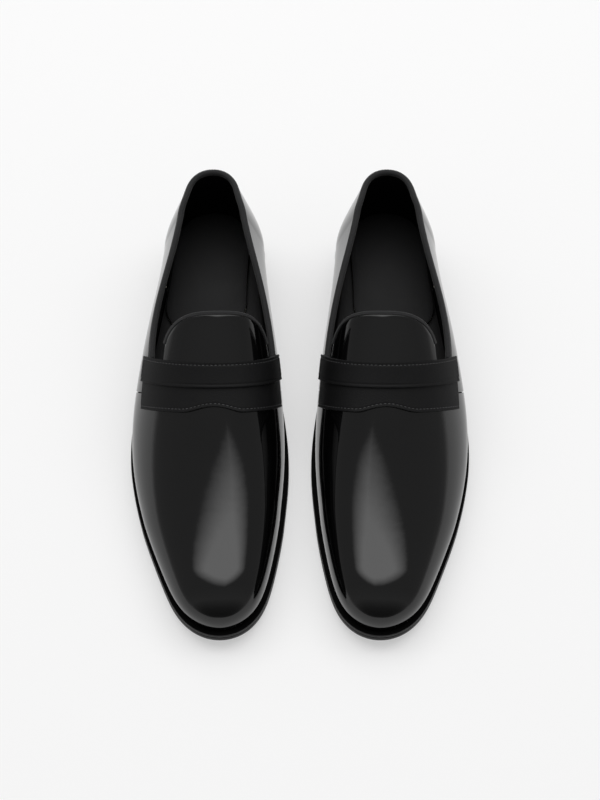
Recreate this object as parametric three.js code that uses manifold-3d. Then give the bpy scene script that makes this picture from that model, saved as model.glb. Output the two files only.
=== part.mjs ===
// A pair of saddle-strap slip-on dress shoes (loafers), each built as it is lasted and bottomed.
// Units are millimetres and +Z is up. The toes point along -Y, the right shoe stands at -X, and
// the two shoes are mirror images of each other about X = 0.
//
// One shoe is described in its own frame. u runs forward from the back of the feather line, where
// the upper meets the welt, x is positive on the lateral side, and z is up from the floor. The
// upper is a surface of stations s, from the heel (0) to the toe (1) along either side, and of
// shares t, from the feather line (0) up to the ridge (1).
import * as THREE from "three";
import { mergeVertices } from "three/addons/utils/BufferGeometryUtils.js";
import Module from "manifold-3d";

const { lerp, clamp, degToRad } = THREE.MathUtils;

// ---------------------------------------------------------------- driving dimensions
const FEATHER_LENGTH = 293; // size EU 43.5, back of the heel to the tip of the toe
const CLEAR = 0.3; // gap kept between touching pieces
const PAIR_OFFSET = 54; // from the middle of the pair to the axis of a shoe, half way along it
const TOE_IN = degToRad(0.85);

const UPPER = 1.1; // patent leather
const STIFFENER = 0.7; // toe puff and heel counter
const LINING = 0.7;
const LASTING_MARGIN = 12; // upper turned in under the insole board
const WELT = 2.6;
const OUTSOLE = 4.1;
const INSOLE = 2;
const SOCK = 0.8; // full-length leather over the insole board
const HEEL_LIFT = 4; // each leather lift of the heel
const TOP_PIECE = 5.5; // rubber lift that touches the floor
const STRAP = 1.2; // each layer of the saddle
const BINDING = 0.5; // ribbon folded over the topline
const BACK_STRIP = 0.8;

// The finished upper: control values of a cubic B-spline, evenly spaced from heel to toe.
const LATERAL_HALF_WIDTH = [29, 30.5, 33.5, 39.5, 45.5, 51.3, 51.6, 47.2, 39.6, 35.6, 41];
const MEDIAL_HALF_WIDTH = [29, 30.5, 31, 34, 38.2, 41.2, 42.6, 40.4, 36.6, 35.8, 41.5];
const FEATHER_HEIGHT = [29.5, 29.5, 28.5, 24, 16.5, 9.5, 6.6, 6.5, 8.4, 11, 14.5];
const RIDGE_HEIGHT = [118, 118, 116, 110, 96, 78, 65, 55, 47, 41, 38];
const RIDGE_SHIFT = [0, 0, 0, 0, 1.5, 4, 7.5, 9.5, 8.5, 5, 0]; // towards the medial side
const BULGE = [2.4, 2.6, 3.2, 3.4, 3.2, 2.6, 2.3, 2.2, 2.2, 2.2, 2.2];
const BULGE_HEIGHT = 14; // height over the feather line at which the side stands out most
// Squareness of the cross-section, 2 for an ellipse and less for a leaner one.
const LATERAL_SHOULDER = [1.45, 1.5, 1.65, 1.95, 2.05, 1.95, 2.15, 2.4, 2.5, 2.6, 2.6];
const MEDIAL_SHOULDER = [1.4, 1.4, 1.7, 2.3, 2.6, 2.2, 2.15, 2.4, 2.5, 2.6, 2.6];
const BACK_SHOULDER = 2.8; // down the middle of the back
const BACK_NARROWNESS = 6; // how soon that fades towards the sides
const HEEL_CENTRE = 36; // centre of the round of the heel, from its back
const HEEL_SQUARENESS = 2.15;
const TOE_ROUND = 75; // length over which the toe closes in plan
const TOE_SQUARENESS = 2;
const TOE_SWING = { start: 200, reach: 3 }; // the toe bends over to the medial side
const TOE_DROP = 30; // length over which the top of the toe comes down
const TOE_DROP_SQUARENESS = 2.5;

// Edge of the sole outside the feather line, heel to toe.
const LATERAL_EDGE = [2.2, 2.2, 1.8, 1.2, 1.2, 2.6, 3.6, 3, 2.8, 3, 3.4];
const MEDIAL_EDGE = [2.2, 2.2, 1.8, 1.2, 1.2, 3.5, 4.7, 4.4, 4, 3.6, 3.4];

// Height of the topline over TOPLINE_LENGTH, from the back of the heel forwards.
const LATERAL_TOPLINE = [88, 87.5, 80, 69, 61, 58];
const MEDIAL_TOPLINE = [88, 87.5, 80, 68, 58, 51];
const TOPLINE_LENGTH = 130;
const BINDING_OUTSIDE = 3.2; // how far the ribbon comes down each side
const BINDING_INSIDE = 3;
const BINDING_STOP = 4.9; // short of the saddle

const HEEL_BREAST = 74; // front face of the heel
const HEEL_TAPER = 2; // how much narrower the heel is at the floor
const PUFF_LENGTH = 62;
const COUNTER_LENGTH = 78;
const COUNTER_LEVEL = 0.55; // share of the wall that the counter stands up
const GRIP_LENGTH = 56; // heel grip, forward from the back
const BACK_STRIP_WIDTH = 12;
const SHANK = { start: 52, end: 152, width: 13, thickness: 1.2 };
const FILLER_START = 158;
const HEEL_SOCK = 0.9; // leather over the heel pad
const PAD = { front: 86, corner: 16, back: 2, thin: 1, inset: 1.5, medialInset: 9 };
const NAIL = { radius: 1.2, head: 2.4, headHeight: 0.8, length: 19 };
const NAIL_PLACES = [{ x: 0, u: 20 }, { x: 13, u: 40 }, { x: -13, u: 40 }];

// The saddle and the tongue lie between planes square to the instep. A place is the distance of
// such a plane, measured forward and down that slope.
const INSTEP_SLOPE = degToRad(31);
const TONGUE_REAR = 51;
const TONGUE_SQUARENESS = 2.6;
const TONGUE_RISE = 0.07; // share between the topline and the side of the tongue
const PIPING_RADIUS = 1.1;
const SADDLE_REAR = 80.2;
const SADDLE_FOLD = 96; // front edge of the upper layer
const SADDLE_FRONT = 111.3;
const SADDLE_SWEEP = 3.3; // how far the ends of its edges run back
const SADDLE_FRONT_SWEEP = 1.5;
const SADDLE_WAVE = 3.7; // depth of the notch in the middle of the front edge
const SADDLE_WAVE_SHARE = 0.24;
const SADDLE_WAVE_OFFSET = 0.065; // share by which the notch lies to the lateral side
const SADDLE_ROOM = 0.5; // under the saddle
const LATERAL_SADDLE_END = 0.32; // share of the way up each side
const MEDIAL_SADDLE_END = 0.24;
const SEAM = 100; // the vamp meets the quarters under the saddle

// ---------------------------------------------------------------- surface of the upper
const LATERAL = 1;
const MEDIAL = -1;
const HEEL_SHARE = 0.18; // stations up to this one go round the back of the heel
const STIFFENER_DEPTH = UPPER + CLEAR; // each depth is taken from the outer face
const LINING_DEPTH = STIFFENER_DEPTH + STIFFENER + CLEAR;
const LINING_FACE = LINING_DEPTH + LINING;
const WALL_BASE = CLEAR + UPPER + CLEAR; // inside layers stand this far over the feather line

const along = (u) => u / FEATHER_LENGTH;
const bySide = (side, lateral, medial) => (side === LATERAL ? lateral : medial);

// A point on a uniform cubic B-spline that starts and ends on its end values, and goes straight
// on beyond them.
function spline(values, share) {
  const last = values.length - 1;
  const ends = [2 * values[0] - values[1], ...values, 2 * values[last] - values[last - 1]];
  const place = clamp(share, 0, 1) * last;
  const past = share * last - place;
  const slope = past > 0 ? values[last] - values[last - 1] : values[1] - values[0];
  const i = Math.min(Math.floor(place), last - 1);
  const t = place - i;
  const weights = [
    (1 - t) ** 3,
    3 * t ** 3 - 6 * t ** 2 + 4,
    -3 * t ** 3 + 3 * t ** 2 + 3 * t + 1,
    t ** 3,
  ];
  return weights.reduce((sum, weight, k) => sum + (weight * ends[i + k]) / 6, past * slope);
}

// 1 along the shoe, falling to 0 at the tip of the toe over the given length.
function toeEnd(u, length, squareness) {
  const k = clamp((u - FEATHER_LENGTH + length) / length, 0, 1);
  return (1 - k ** squareness) ** (1 / squareness);
}

const featherHeight = (u) => spline(FEATHER_HEIGHT, along(u));
const halfWidth = (side, u) =>
  spline(bySide(side, LATERAL_HALF_WIDTH, MEDIAL_HALF_WIDTH), along(u))
  * toeEnd(u, TOE_ROUND, TOE_SQUARENESS);

const middleLine = (u) => {
  const k = Math.max(u - TOE_SWING.start, 0) / (FEATHER_LENGTH - TOE_SWING.start);
  return -TOE_SWING.reach * k ** 2;
};

// The feather line in plan. turn is a right angle at the back of the heel and 0 along the sides.
function feather(side, s) {
  if (s >= HEEL_SHARE) {
    const angle = ((s - HEEL_SHARE) / (1 - HEEL_SHARE)) * (Math.PI / 2);
    const u = HEEL_CENTRE + (FEATHER_LENGTH - HEEL_CENTRE) * Math.sin(angle);
    return { x: middleLine(u) + side * halfWidth(side, u), u, turn: 0 };
  }
  const turn = (1 - s / HEEL_SHARE) * (Math.PI / 2);
  const across = Math.cos(turn) / halfWidth(side, HEEL_CENTRE);
  const back = Math.sin(turn) / HEEL_CENTRE;
  const radius = (across ** HEEL_SQUARENESS + back ** HEEL_SQUARENESS) ** (-1 / HEEL_SQUARENESS);
  return { x: side * radius * Math.cos(turn), u: HEEL_CENTRE - radius * Math.sin(turn), turn };
}

// The station at which the feather line is at u, in front of the heel's centre.
function stationAt(u) {
  const angle = Math.asin((u - HEEL_CENTRE) / (FEATHER_LENGTH - HEEL_CENTRE));
  return HEEL_SHARE + (1 - HEEL_SHARE) * (angle / (Math.PI / 2));
}

// The outer face of the upper.
function outer(side, s, t) {
  const foot = feather(side, s);
  const ridge = Math.max(foot.u, HEEL_CENTRE);
  const shoulder = lerp(
    spline(bySide(side, LATERAL_SHOULDER, MEDIAL_SHOULDER), along(ridge)),
    BACK_SHOULDER,
    Math.sin(foot.turn) ** BACK_NARROWNESS,
  );
  const low = featherHeight(foot.u) + WALL_BASE;
  const rise = Math.sin((t * Math.PI) / 2) ** (2 / shoulder)
    * (spline(RIDGE_HEIGHT, along(ridge)) - low)
    * toeEnd(foot.u, TOE_DROP, TOE_DROP_SQUARENESS);
  const middle = middleLine(foot.u);
  const reach = Math.hypot(foot.x - middle, ridge - foot.u);
  const lift = rise / BULGE_HEIGHT;
  const bulge = spline(BULGE, along(foot.u)) * lift * Math.exp(1 - lift)
    * Math.min(1, reach / 20);
  const narrowing = Math.max(Math.cos((t * Math.PI) / 2), 0) ** (2 / shoulder);
  const scale = reach > 1e-6 ? ((reach + bulge) * narrowing) / reach : 0;
  const lean = spline(RIDGE_SHIFT, along(ridge)) * Math.sin((t * Math.PI) / 2) ** 2;
  return new THREE.Vector3(
    middle + (foot.x - middle) * scale - lean * toeEnd(foot.u, TOE_ROUND, TOE_SQUARENESS),
    ridge + (foot.u - ridge) * scale,
    low + rise,
  );
}

// Outward direction of the feather line in plan.
function planNormal(side, s) {
  if (s === 0) return new THREE.Vector3(0, -1, 0);
  if (s === 1) return new THREE.Vector3(0, 1, 0);
  const step = 1e-4;
  const a = feather(side, Math.max(0, s - step));
  const b = feather(side, Math.min(1, s + step));
  return new THREE.Vector3(side * (b.u - a.u), -side * (b.x - a.x), 0).normalize();
}

// Outward direction of the outer face.
function outerNormal(side, s, t) {
  if (s > 1 - 1e-6) return new THREE.Vector3(0, 1, 0);
  const step = 1e-3;
  const forward = outer(side, Math.min(s + step, 1 - step / 4), t)
    .sub(outer(side, Math.max(s - step, 0), t));
  const upward = outer(side, s, Math.min(t + step, 1)).sub(outer(side, s, Math.max(t - step, 0)));
  const normal = forward.cross(upward).multiplyScalar(side).normalize();
  if (t === 1 || s === 0) normal.x = 0;
  return normal.normalize();
}

const under = (side, s, t, depth) =>
  outer(side, s, t).addScaledVector(outerNormal(side, s, t), -depth);

// The share in 0 to 1 at which a rising function reaches a value.
function solve(rising, value) {
  let [low, high] = [0, 1];
  for (let i = 0; i < 30; i += 1) {
    const middle = (low + high) / 2;
    if (rising(middle) < value) low = middle;
    else high = middle;
  }
  return low;
}

const shareAtHeight = (side, s, z) => solve((t) => outer(side, s, t).z, z);
const toplineHeight = (side, s) => spline(
  bySide(side, LATERAL_TOPLINE, MEDIAL_TOPLINE), feather(side, s).u / TOPLINE_LENGTH);
const topline = (side, s, drop = 0) => shareAtHeight(side, s, toplineHeight(side, s) - drop);
const instepPlace = (p) => p.y * Math.cos(INSTEP_SLOPE) - p.z * Math.sin(INSTEP_SLOPE);
const stationAcross = (side, t, place) => solve((s) => instepPlace(outer(side, s, t)), place);

// ---------------------------------------------------------------- closed solids
// Triangles as one indexed surface that faces outwards. Slivers go, and so do faces that lie back
// to back where a solid closes on itself.
function closed(positions) {
  const loose = new THREE.BufferGeometry();
  loose.setAttribute("position", new THREE.Float32BufferAttribute(positions, 3));
  const geometry = mergeVertices(loose, 2e-3);
  const faces = new Map();
  for (let k = 0; k < geometry.index.count; k += 3) {
    const face = [...geometry.index.array.slice(k, k + 3)];
    const key = [...face].sort((a, b) => a - b).join();
    if (new Set(face).size < 3) continue;
    if (faces.has(key)) faces.delete(key);
    else faces.set(key, face);
  }
  const corner = (k) => new THREE.Vector3().fromBufferAttribute(geometry.attributes.position, k);
  let volume = 0;
  for (const [a, b, c] of faces.values())
    volume += corner(a).dot(corner(b).cross(corner(c)));
  geometry.setIndex([...faces.values()].flatMap(([a, b, c]) => (
    volume < 0 ? [a, c, b] : [a, b, c])));
  return geometry;
}

// A solid between the two faces of a sheet. Each row is a list of [outer, inner] points, and
// both faces are split along the same diagonals.
function sheetSolid(rows) {
  const rings = rows.map((row) => [
    ...row.map(([face]) => face),
    ...row.map(([, back]) => back).reverse(),
  ]);
  const positions = [];
  // Four corners in order, split from the first corner or from the second.
  const quad = ([a, b, c, d], fromSecond) => {
    const corners = fromSecond ? [a, b, d, b, c, d] : [a, b, c, a, c, d];
    corners.forEach((p) => positions.push(p.x, p.y, p.z));
  };
  const size = rings[0].length;
  for (let i = 0; i + 1 < rings.length; i += 1) {
    for (let j = 0; j < size; j += 1) {
      const k = (j + 1) % size;
      quad([rings[i][j], rings[i + 1][j], rings[i + 1][k], rings[i][k]], j >= size / 2);
    }
  }
  const cap = (ring, turned) => {
    for (let j = 0; j + 1 < size / 2; j += 1) {
      const corners = [ring[j], ring[j + 1], ring[size - 2 - j], ring[size - 1 - j]];
      const [a, b, c, d] = corners;
      quad(turned ? [a, d, c, b] : corners, j > size / 4 - 1);
    }
  };
  cap(rings[0], false);
  cap(rings[rings.length - 1], true);
  return closed(positions);
}

// A solid that joins a loop of rings, each a closed section with the same number of points.
function loopSolid(rings) {
  const positions = [];
  rings.forEach((ring, i) => {
    const next = rings[(i + 1) % rings.length];
    ring.forEach((point, j) => {
      const k = (j + 1) % ring.length;
      for (const p of [point, next[j], next[k], point, next[k], ring[k]])
        positions.push(p.x, p.y, p.z);
    });
  });
  return closed(positions);
}

const heelStation = (width) => HEEL_SHARE * solve(
  (k) => Math.abs(feather(LATERAL, k * HEEL_SHARE).x), width);
const PANEL_START = heelStation(2 * CLEAR);
const STRIP_END = heelStation(BACK_STRIP_WIDTH / 2);
const GRIP_END = stationAt(GRIP_LENGTH);
const COUNTER_END = stationAt(COUNTER_LENGTH);

// Stations from the heel to the toe. Layers that lie on each other share them, so that their
// facets run side by side: round the heel, along the quarters, and then along the vamp.
const HEEL_STATIONS = [
  0, STRIP_END, 0.06, 0.09, 0.12, 0.15, HEEL_SHARE, GRIP_END, COUNTER_END];
const QUARTER_STEPS = [1 / 3, 2 / 3, 1];
const QUARTER_SEAM = stationAcross(LATERAL, 0, SEAM - 2 * CLEAR);
const VAMP_SEAM = stationAcross(LATERAL, 0, SEAM);
const RIDGE_REAR = stationAcross(LATERAL, 1, TONGUE_REAR);
const PUFF_STEP = (stationAt(FEATHER_LENGTH - PUFF_LENGTH) - RIDGE_REAR) / (1 - RIDGE_REAR);
const VAMP_STEPS = [
  0, 0.06, 0.125, 0.19, 0.26, 0.34, PUFF_STEP, 0.5, 0.6, 0.7, 0.79, 0.87, 0.93, 0.975, 1,
].sort((a, b) => a - b);
const STATIONS = [
  ...HEEL_STATIONS,
  ...QUARTER_STEPS.map((step) => lerp(COUNTER_END, QUARTER_SEAM, step)),
  ...VAMP_STEPS.map((step) => lerp(VAMP_SEAM, 1, step)),
  ...[HEEL_BREAST, SHANK.start, SHANK.end, FILLER_START, PAD.front].map(stationAt),
].sort((a, b) => a - b);
const between = (from, to, list = STATIONS) => [
  from, ...list.filter((s) => s > from + 0.006 && s < to - 0.006), to];

// ---------------------------------------------------------------- sole, heel and insole
// A point of the edge of the sole, or of a layer set in from the feather line.
function soleEdge(side, s, out) {
  const foot = feather(side, s);
  const edge = planNormal(side, s).multiplyScalar(out);
  return { x: foot.x + edge.x, u: foot.u + edge.y };
}
const soleMargin = (side, s) =>
  spline(bySide(side, LATERAL_EDGE, MEDIAL_EDGE), along(feather(side, s).u));

// A layer that lies under the foot between two heights, given how far it stands out at the top
// and at the bottom.
function layer({
  low, high, outHigh, outLow = outHigh, from = 0, to = 1, stations = STATIONS,
}) {
  return sheetSolid(between(from, to, stations).map((s) => [MEDIAL, LATERAL].map((side) => {
    const top = soleEdge(side, s, outHigh(side, s));
    const bottom = soleEdge(side, s, outLow(side, s));
    return [
      new THREE.Vector3(top.x, top.u, high(top.u)),
      new THREE.Vector3(bottom.x, bottom.u, low(bottom.u)),
    ];
  })));
}

const outsoleTop = (u) => featherHeight(u) - WELT - CLEAR;
const outsoleBottom = (u) => Math.max(0, outsoleTop(u) - OUTSOLE);
const insoleBottom = (u) => featherHeight(u) + WALL_BASE;
const insoleTop = (u) => insoleBottom(u) + INSOLE;
const insoleInset = () => -(LINING_FACE + CLEAR);

const outsole = () => layer({ low: outsoleBottom, high: outsoleTop, outHigh: soleMargin });

function welt() {
  const ring = (side, s) => {
    const out = soleEdge(side, s, soleMargin(side, s));
    const inside = soleEdge(side, s, -LASTING_MARGIN);
    return [[out, WELT], [out, 0], [inside, 0], [inside, WELT]].map(([p, drop]) =>
      new THREE.Vector3(p.x, p.u, featherHeight(p.u) - drop));
  };
  return loopSolid([
    ...STATIONS.map((s) => ring(LATERAL, s)),
    ...STATIONS.slice(1, -1).reverse().map((s) => ring(MEDIAL, s)),
  ]);
}

// A horizontal slice of the heel, which narrows towards the floor.
function heelSlice(low, high) {
  const taper = (z) => (side, s) => soleMargin(side, s) - HEEL_TAPER * (1 - z / outsoleBottom(0));
  return layer({
    low,
    high,
    outHigh: taper(high(0)),
    outLow: taper(low(0)),
    to: stationAt(HEEL_BREAST),
  });
}
const topPiece = () => heelSlice(() => 0, () => TOP_PIECE);
const liftBase = (number) => TOP_PIECE + CLEAR + number * (HEEL_LIFT + CLEAR);
const flatLift = (number) => heelSlice(
  () => liftBase(number), () => liftBase(number) + HEEL_LIFT);
const upperLift = () => heelSlice(() => liftBase(2), (u) => outsoleBottom(u) - CLEAR);

const insoleBoard = () => layer({ low: insoleBottom, high: insoleTop, outHigh: insoleInset });

function bottomFiller() {
  return layer({
    low: (u) => outsoleTop(u) + CLEAR,
    high: (u) => insoleBottom(u) - CLEAR,
    outHigh: () => -(LASTING_MARGIN + 2 * CLEAR),
    from: stationAt(FILLER_START),
  });
}

// The steel shank is arched to the underside of the insole board.
function shank() {
  const top = (u) => insoleBottom(u) - CLEAR;
  return sheetSolid(between(stationAt(SHANK.start), stationAt(SHANK.end)).map((s) => {
    const { u } = feather(LATERAL, s);
    return [-SHANK.width / 2, SHANK.width / 2].map((x) => [
      new THREE.Vector3(x, u, top(u)), new THREE.Vector3(x, u, top(u) - SHANK.thickness)]);
  }));
}

const sockBottom = (u) => insoleTop(u) + CLEAR;
const sockTop = (u) => sockBottom(u) + SOCK;
const sockLining = () => layer({ low: sockBottom, high: sockTop, outHigh: insoleInset });

// The heel pad and the heel sock that covers it have one outline, with round front corners, and
// leave the arch side free. The pad is thickest at the back.
const padBottom = (u) => sockTop(u) + CLEAR;
const padTop = (u) => padBottom(u) + lerp(PAD.back, PAD.thin, clamp(u / PAD.front, 0, 1));
function padOutline(side, s) {
  const { u } = feather(side, s);
  const past = clamp((u - PAD.front + PAD.corner) / PAD.corner, 0, 1);
  const corner = PAD.corner * (1 - Math.sqrt(1 - past ** 2));
  const archSide = bySide(side, 0, PAD.medialInset * clamp(u / PAD.front, 0, 1));
  return -(LINING_FACE + PAD.inset + archSide + corner);
}
function padLayer(low, high) {
  const corners = [0.4, 0.7, 0.9].map((k) => stationAt(PAD.front - PAD.corner * (1 - k)));
  return layer({
    low,
    high,
    outHigh: padOutline,
    to: stationAt(PAD.front),
    stations: [...STATIONS, ...corners].sort((a, b) => a - b),
  });
}
const heelPad = () => padLayer(padBottom, padTop);
const heelSock = () => padLayer((u) => padTop(u) + CLEAR, (u) => padTop(u) + CLEAR + HEEL_SOCK);

// ---------------------------------------------------------------- heel nails
const wasm = await Module();
wasm.setup();

const toSolid = (geometry) => new wasm.Manifold(new wasm.Mesh({
  numProp: 3,
  vertProperties: geometry.attributes.position.array,
  triVerts: new Uint32Array(geometry.index.array),
}));

function toGeometry(solid) {
  const mesh = solid.getMesh();
  const geometry = new THREE.BufferGeometry();
  geometry.setAttribute("position", new THREE.BufferAttribute(mesh.vertProperties, 3));
  geometry.setIndex(new THREE.BufferAttribute(mesh.triVerts, 1));
  return geometry;
}

// A nail driven down through the insole board into the heel, or with room the hole round it.
function nail({ x, u }, room = 0) {
  const top = insoleTop(u) + room;
  const neck = top - NAIL.headHeight - 2 * room;
  const point = top - NAIL.length - 2 * room;
  const profile = [
    [0, point],
    [NAIL.radius + room, point],
    [NAIL.radius + room, neck],
    [NAIL.head + room, neck],
    [NAIL.head + room, top],
    [0, top],
  ].map(([radius, z]) => new THREE.Vector2(radius, z));
  const turned = new THREE.LatheGeometry(profile, 8).toNonIndexed();
  turned.rotateX(Math.PI / 2);
  turned.translate(x, u, 0);
  return closed(turned.attributes.position.array);
}

const nailed = (geometry) => toGeometry(NAIL_PLACES.reduce(
  (solid, place) => solid.subtract(toSolid(nail(place, CLEAR))), toSolid(geometry)));

// ---------------------------------------------------------------- upper, stiffeners, lining
const pair = (side, s, t, depth, thickness) => [
  under(side, s, t, depth), under(side, s, t, depth + thickness)];

// The lasting margin of the leather, turned in between the insole board and the welt.
function margin(side, s) {
  const corner = soleEdge(side, s, 0);
  const raised = soleEdge(side, s, -UPPER);
  const edge = soleEdge(side, s, -LASTING_MARGIN);
  const at = (p, rise) => new THREE.Vector3(p.x, p.u, featherHeight(p.u) + CLEAR + rise);
  return [[at(edge, 0), at(edge, UPPER)], [at(corner, 0), at(raised, UPPER)]];
}

// Both sides of a row, joined over the ridge.
function arch(row) {
  return [...row(LATERAL), ...row(MEDIAL).reverse().slice(1)];
}

// The share at which the side of the tongue rises, above the topline under the saddle.
const tongueSide = (side) => TONGUE_RISE + Math.max(...[SADDLE_REAR, SEAM].map(
  (place) => topline(side, stationAcross(side, 0.4, place))));

// The place of the rear edge of the vamp: the round of the tongue, or the seam below its side.
function vampRear(side, t) {
  const low = tongueSide(side);
  if (t < low) return SEAM;
  const k = (1 - t) / (1 - low);
  const round = 1 - (1 - k ** TONGUE_SQUARENESS) ** (1 / TONGUE_SQUARENESS);
  return lerp(TONGUE_REAR, SADDLE_REAR + 2, round);
}
const tongueShares = (side) => [0, 0.1, 0.3, 0.55, 0.8, 1].map(
  (k) => lerp(tongueSide(side), 1, k));
const vampShares = (side) => {
  const low = tongueSide(side);
  return [0, 0.25, 0.5, 0.75].map((k) => k * low).concat(low - 0.015, tongueShares(side));
};
const VAMP_SHARES = { [LATERAL]: vampShares(LATERAL), [MEDIAL]: vampShares(MEDIAL) };
const rearStations = (side) => VAMP_SHARES[side].map(
  (t) => stationAcross(side, t, vampRear(side, t)));
const VAMP_REAR = { [LATERAL]: rearStations(LATERAL), [MEDIAL]: rearStations(MEDIAL) };

// The vamp, with its tongue, or the lining or the toe puff under it.
function vampSheet(depth, thickness, { lasted = false, fromStep = 0 } = {}) {
  const steps = VAMP_STEPS.filter((step) => step >= fromStep);
  return sheetSolid(steps.map((step) => arch((side) => {
    const station = (k) => lerp(VAMP_REAR[side][k], 1, step);
    const wall = VAMP_SHARES[side].map((t, k) => pair(side, station(k), t, depth, thickness));
    return lasted ? [...margin(side, station(0)), ...wall] : wall;
  })));
}
const toePuff = () => vampSheet(STIFFENER_DEPTH, STIFFENER, { fromStep: PUFF_STEP });

// The wall of the quarters: its levels are shares of the way from the feather line to the
// topline. Behind the end of the counter its rows stand upright, and in front of it they lean
// over to the seam.
const LEVELS = [0, 0.15, 0.35, COUNTER_LEVEL, 0.8, 1];
function seamStation(side, level) {
  let s = stationAcross(side, 0, SEAM);
  for (let i = 0; i < 8; i += 1)
    s = stationAcross(side, level * topline(side, s, CLEAR), SEAM - 2 * CLEAR);
  return s;
}
function wallPoint(side, s, level, depth, thickness) {
  return pair(side, s, level * topline(side, s, CLEAR), depth, thickness);
}

// One side panel, from a station behind the end of the counter to the seam.
function sidePanel(side, from, depth, thickness, lasted) {
  const fronts = LEVELS.map((level) => seamStation(side, level));
  const upright = between(from, COUNTER_END, HEEL_STATIONS).map((s) => LEVELS.map(() => s));
  const leaning = QUARTER_STEPS.map((step) => fronts.map((s) => lerp(COUNTER_END, s, step)));
  return sheetSolid([...upright, ...leaning].map((stations) => {
    const wall = LEVELS.map((level, k) => wallPoint(side, stations[k], level, depth, thickness));
    return lasted ? [...margin(side, stations[0]), ...wall] : wall;
  }));
}

// A panel round the back of the heel, as far forward as the station `to` on each side.
function backPanel(to, levels, depth, thickness) {
  const stations = between(0, to, HEEL_STATIONS);
  const rows = [
    ...[...stations].reverse().map((s) => [LATERAL, s]),
    ...stations.slice(1).map((s) => [MEDIAL, s]),
  ];
  return sheetSolid(rows.map(([side, s]) => levels.map(
    (level) => wallPoint(side, s, level, depth, thickness))));
}

const heelCounter = () => backPanel(
  COUNTER_END, LEVELS.filter((level) => level <= COUNTER_LEVEL), STIFFENER_DEPTH, STIFFENER);
const heelGrip = () => backPanel(GRIP_END, LEVELS, LINING_DEPTH, LINING);
const backStrip = () => backPanel(
  STRIP_END, [0.03, 0.15, 0.35, COUNTER_LEVEL, 0.8, 0.88], -(CLEAR + BACK_STRIP), BACK_STRIP);

// ---------------------------------------------------------------- bindings and saddle
// The ribbon folded over the topline, from behind the saddle round the heel and back.
function toplineBinding() {
  const section = (side, s) => {
    const share = (rise) => topline(side, s, -rise);
    const out = -CLEAR;
    const fold = CLEAR + BINDING;
    const back = LINING_FACE + 2 * CLEAR;
    const point = (depth, rise) => under(side, s, share(rise), depth);
    return [
      [point(out - BINDING, -BINDING_OUTSIDE), point(out, -BINDING_OUTSIDE)],
      [point(out - BINDING, fold), point(out, CLEAR)],
      [point(back + BINDING, fold), point(back, CLEAR)],
      [point(back + BINDING, -BINDING_INSIDE), point(back, -BINDING_INSIDE)],
    ];
  };
  const rowsTo = (side) => {
    const place = SADDLE_REAR - SADDLE_SWEEP - BINDING_STOP;
    const end = stationAcross(side, topline(side, COUNTER_END), place);
    const steps = QUARTER_STEPS.map((step) => lerp(COUNTER_END, seamStation(side, 1), step));
    return between(0, end, [...HEEL_STATIONS, ...steps]);
  };
  return sheetSolid([
    ...rowsTo(LATERAL).reverse().map((s) => section(LATERAL, s)),
    ...rowsTo(MEDIAL).slice(1).map((s) => section(MEDIAL, s)),
  ]);
}

// A rolled edge round the tongue.
function tonguePiping() {
  const edge = arch((side) => tongueShares(side).slice(1).map((t) => {
    const s = stationAcross(side, t, vampRear(side, t));
    const face = under(side, s, t, UPPER);
    return { face, normal: outerNormal(side, s, t) };
  }));
  const away = PIPING_RADIUS + CLEAR;
  const path = edge.map(({ face, normal }, i) => {
    const before = edge[Math.max(i - 1, 0)].face;
    const after = edge[Math.min(i + 1, edge.length - 1)].face;
    const outward = after.clone().sub(before).cross(normal).normalize();
    if (outward.y > 0) outward.negate();
    return face.clone().addScaledVector(outward, away);
  });
  const circle = new THREE.Shape().absarc(0, 0, PIPING_RADIUS, 0, 2 * Math.PI);
  const tube = new THREE.ExtrudeGeometry(circle, {
    curveSegments: 3,
    steps: 18,
    extrudePath: new THREE.CatmullRomCurve3(path),
  });
  return closed(tube.attributes.position.array);
}

// One layer of the saddle, between two edges. Layer 0 lies on the upper, and layer 1 on layer 0.
function saddleLayer(number, edges) {
  const lift = SADDLE_ROOM + number * (STRAP + CLEAR);
  const shares = (side) => {
    const end = bySide(side, LATERAL_SADDLE_END, MEDIAL_SADDLE_END);
    return [end, ...VAMP_SHARES[side].filter((t) => t > end + 0.02)];
  };
  const steps = [0, 1 / 3, 2 / 3, 1];
  return sheetSolid(steps.map((step) => arch((side) => shares(side).map((t, _, [end]) => {
    const [rear, front] = edges.map(({ place, sweep }) =>
      place(side, t) - sweep * ((1 - t) / (1 - end)) ** 2);
    const s = stationAcross(side, t, lerp(rear, front, step));
    return pair(side, s, t, -(lift + STRAP), STRAP);
  }))));
}
const notch = (side, t) => {
  const off = Math.abs(side * (1 - t) - SADDLE_WAVE_OFFSET);
  const k = Math.min(off / SADDLE_WAVE_SHARE, 1);
  return (SADDLE_WAVE * (1 + Math.cos(Math.PI * k))) / 2;
};
const saddleRear = { place: () => SADDLE_REAR, sweep: SADDLE_SWEEP };
const saddleFold = { place: () => SADDLE_FOLD, sweep: SADDLE_SWEEP };
const saddleFront = {
  place: (side, t) => SADDLE_FRONT - notch(side, t),
  sweep: SADDLE_FRONT_SWEEP,
};
const saddleLower = () => saddleLayer(0, [saddleRear, saddleFront]);
const saddleUpper = () => saddleLayer(1, [saddleRear, saddleFold]);

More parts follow.
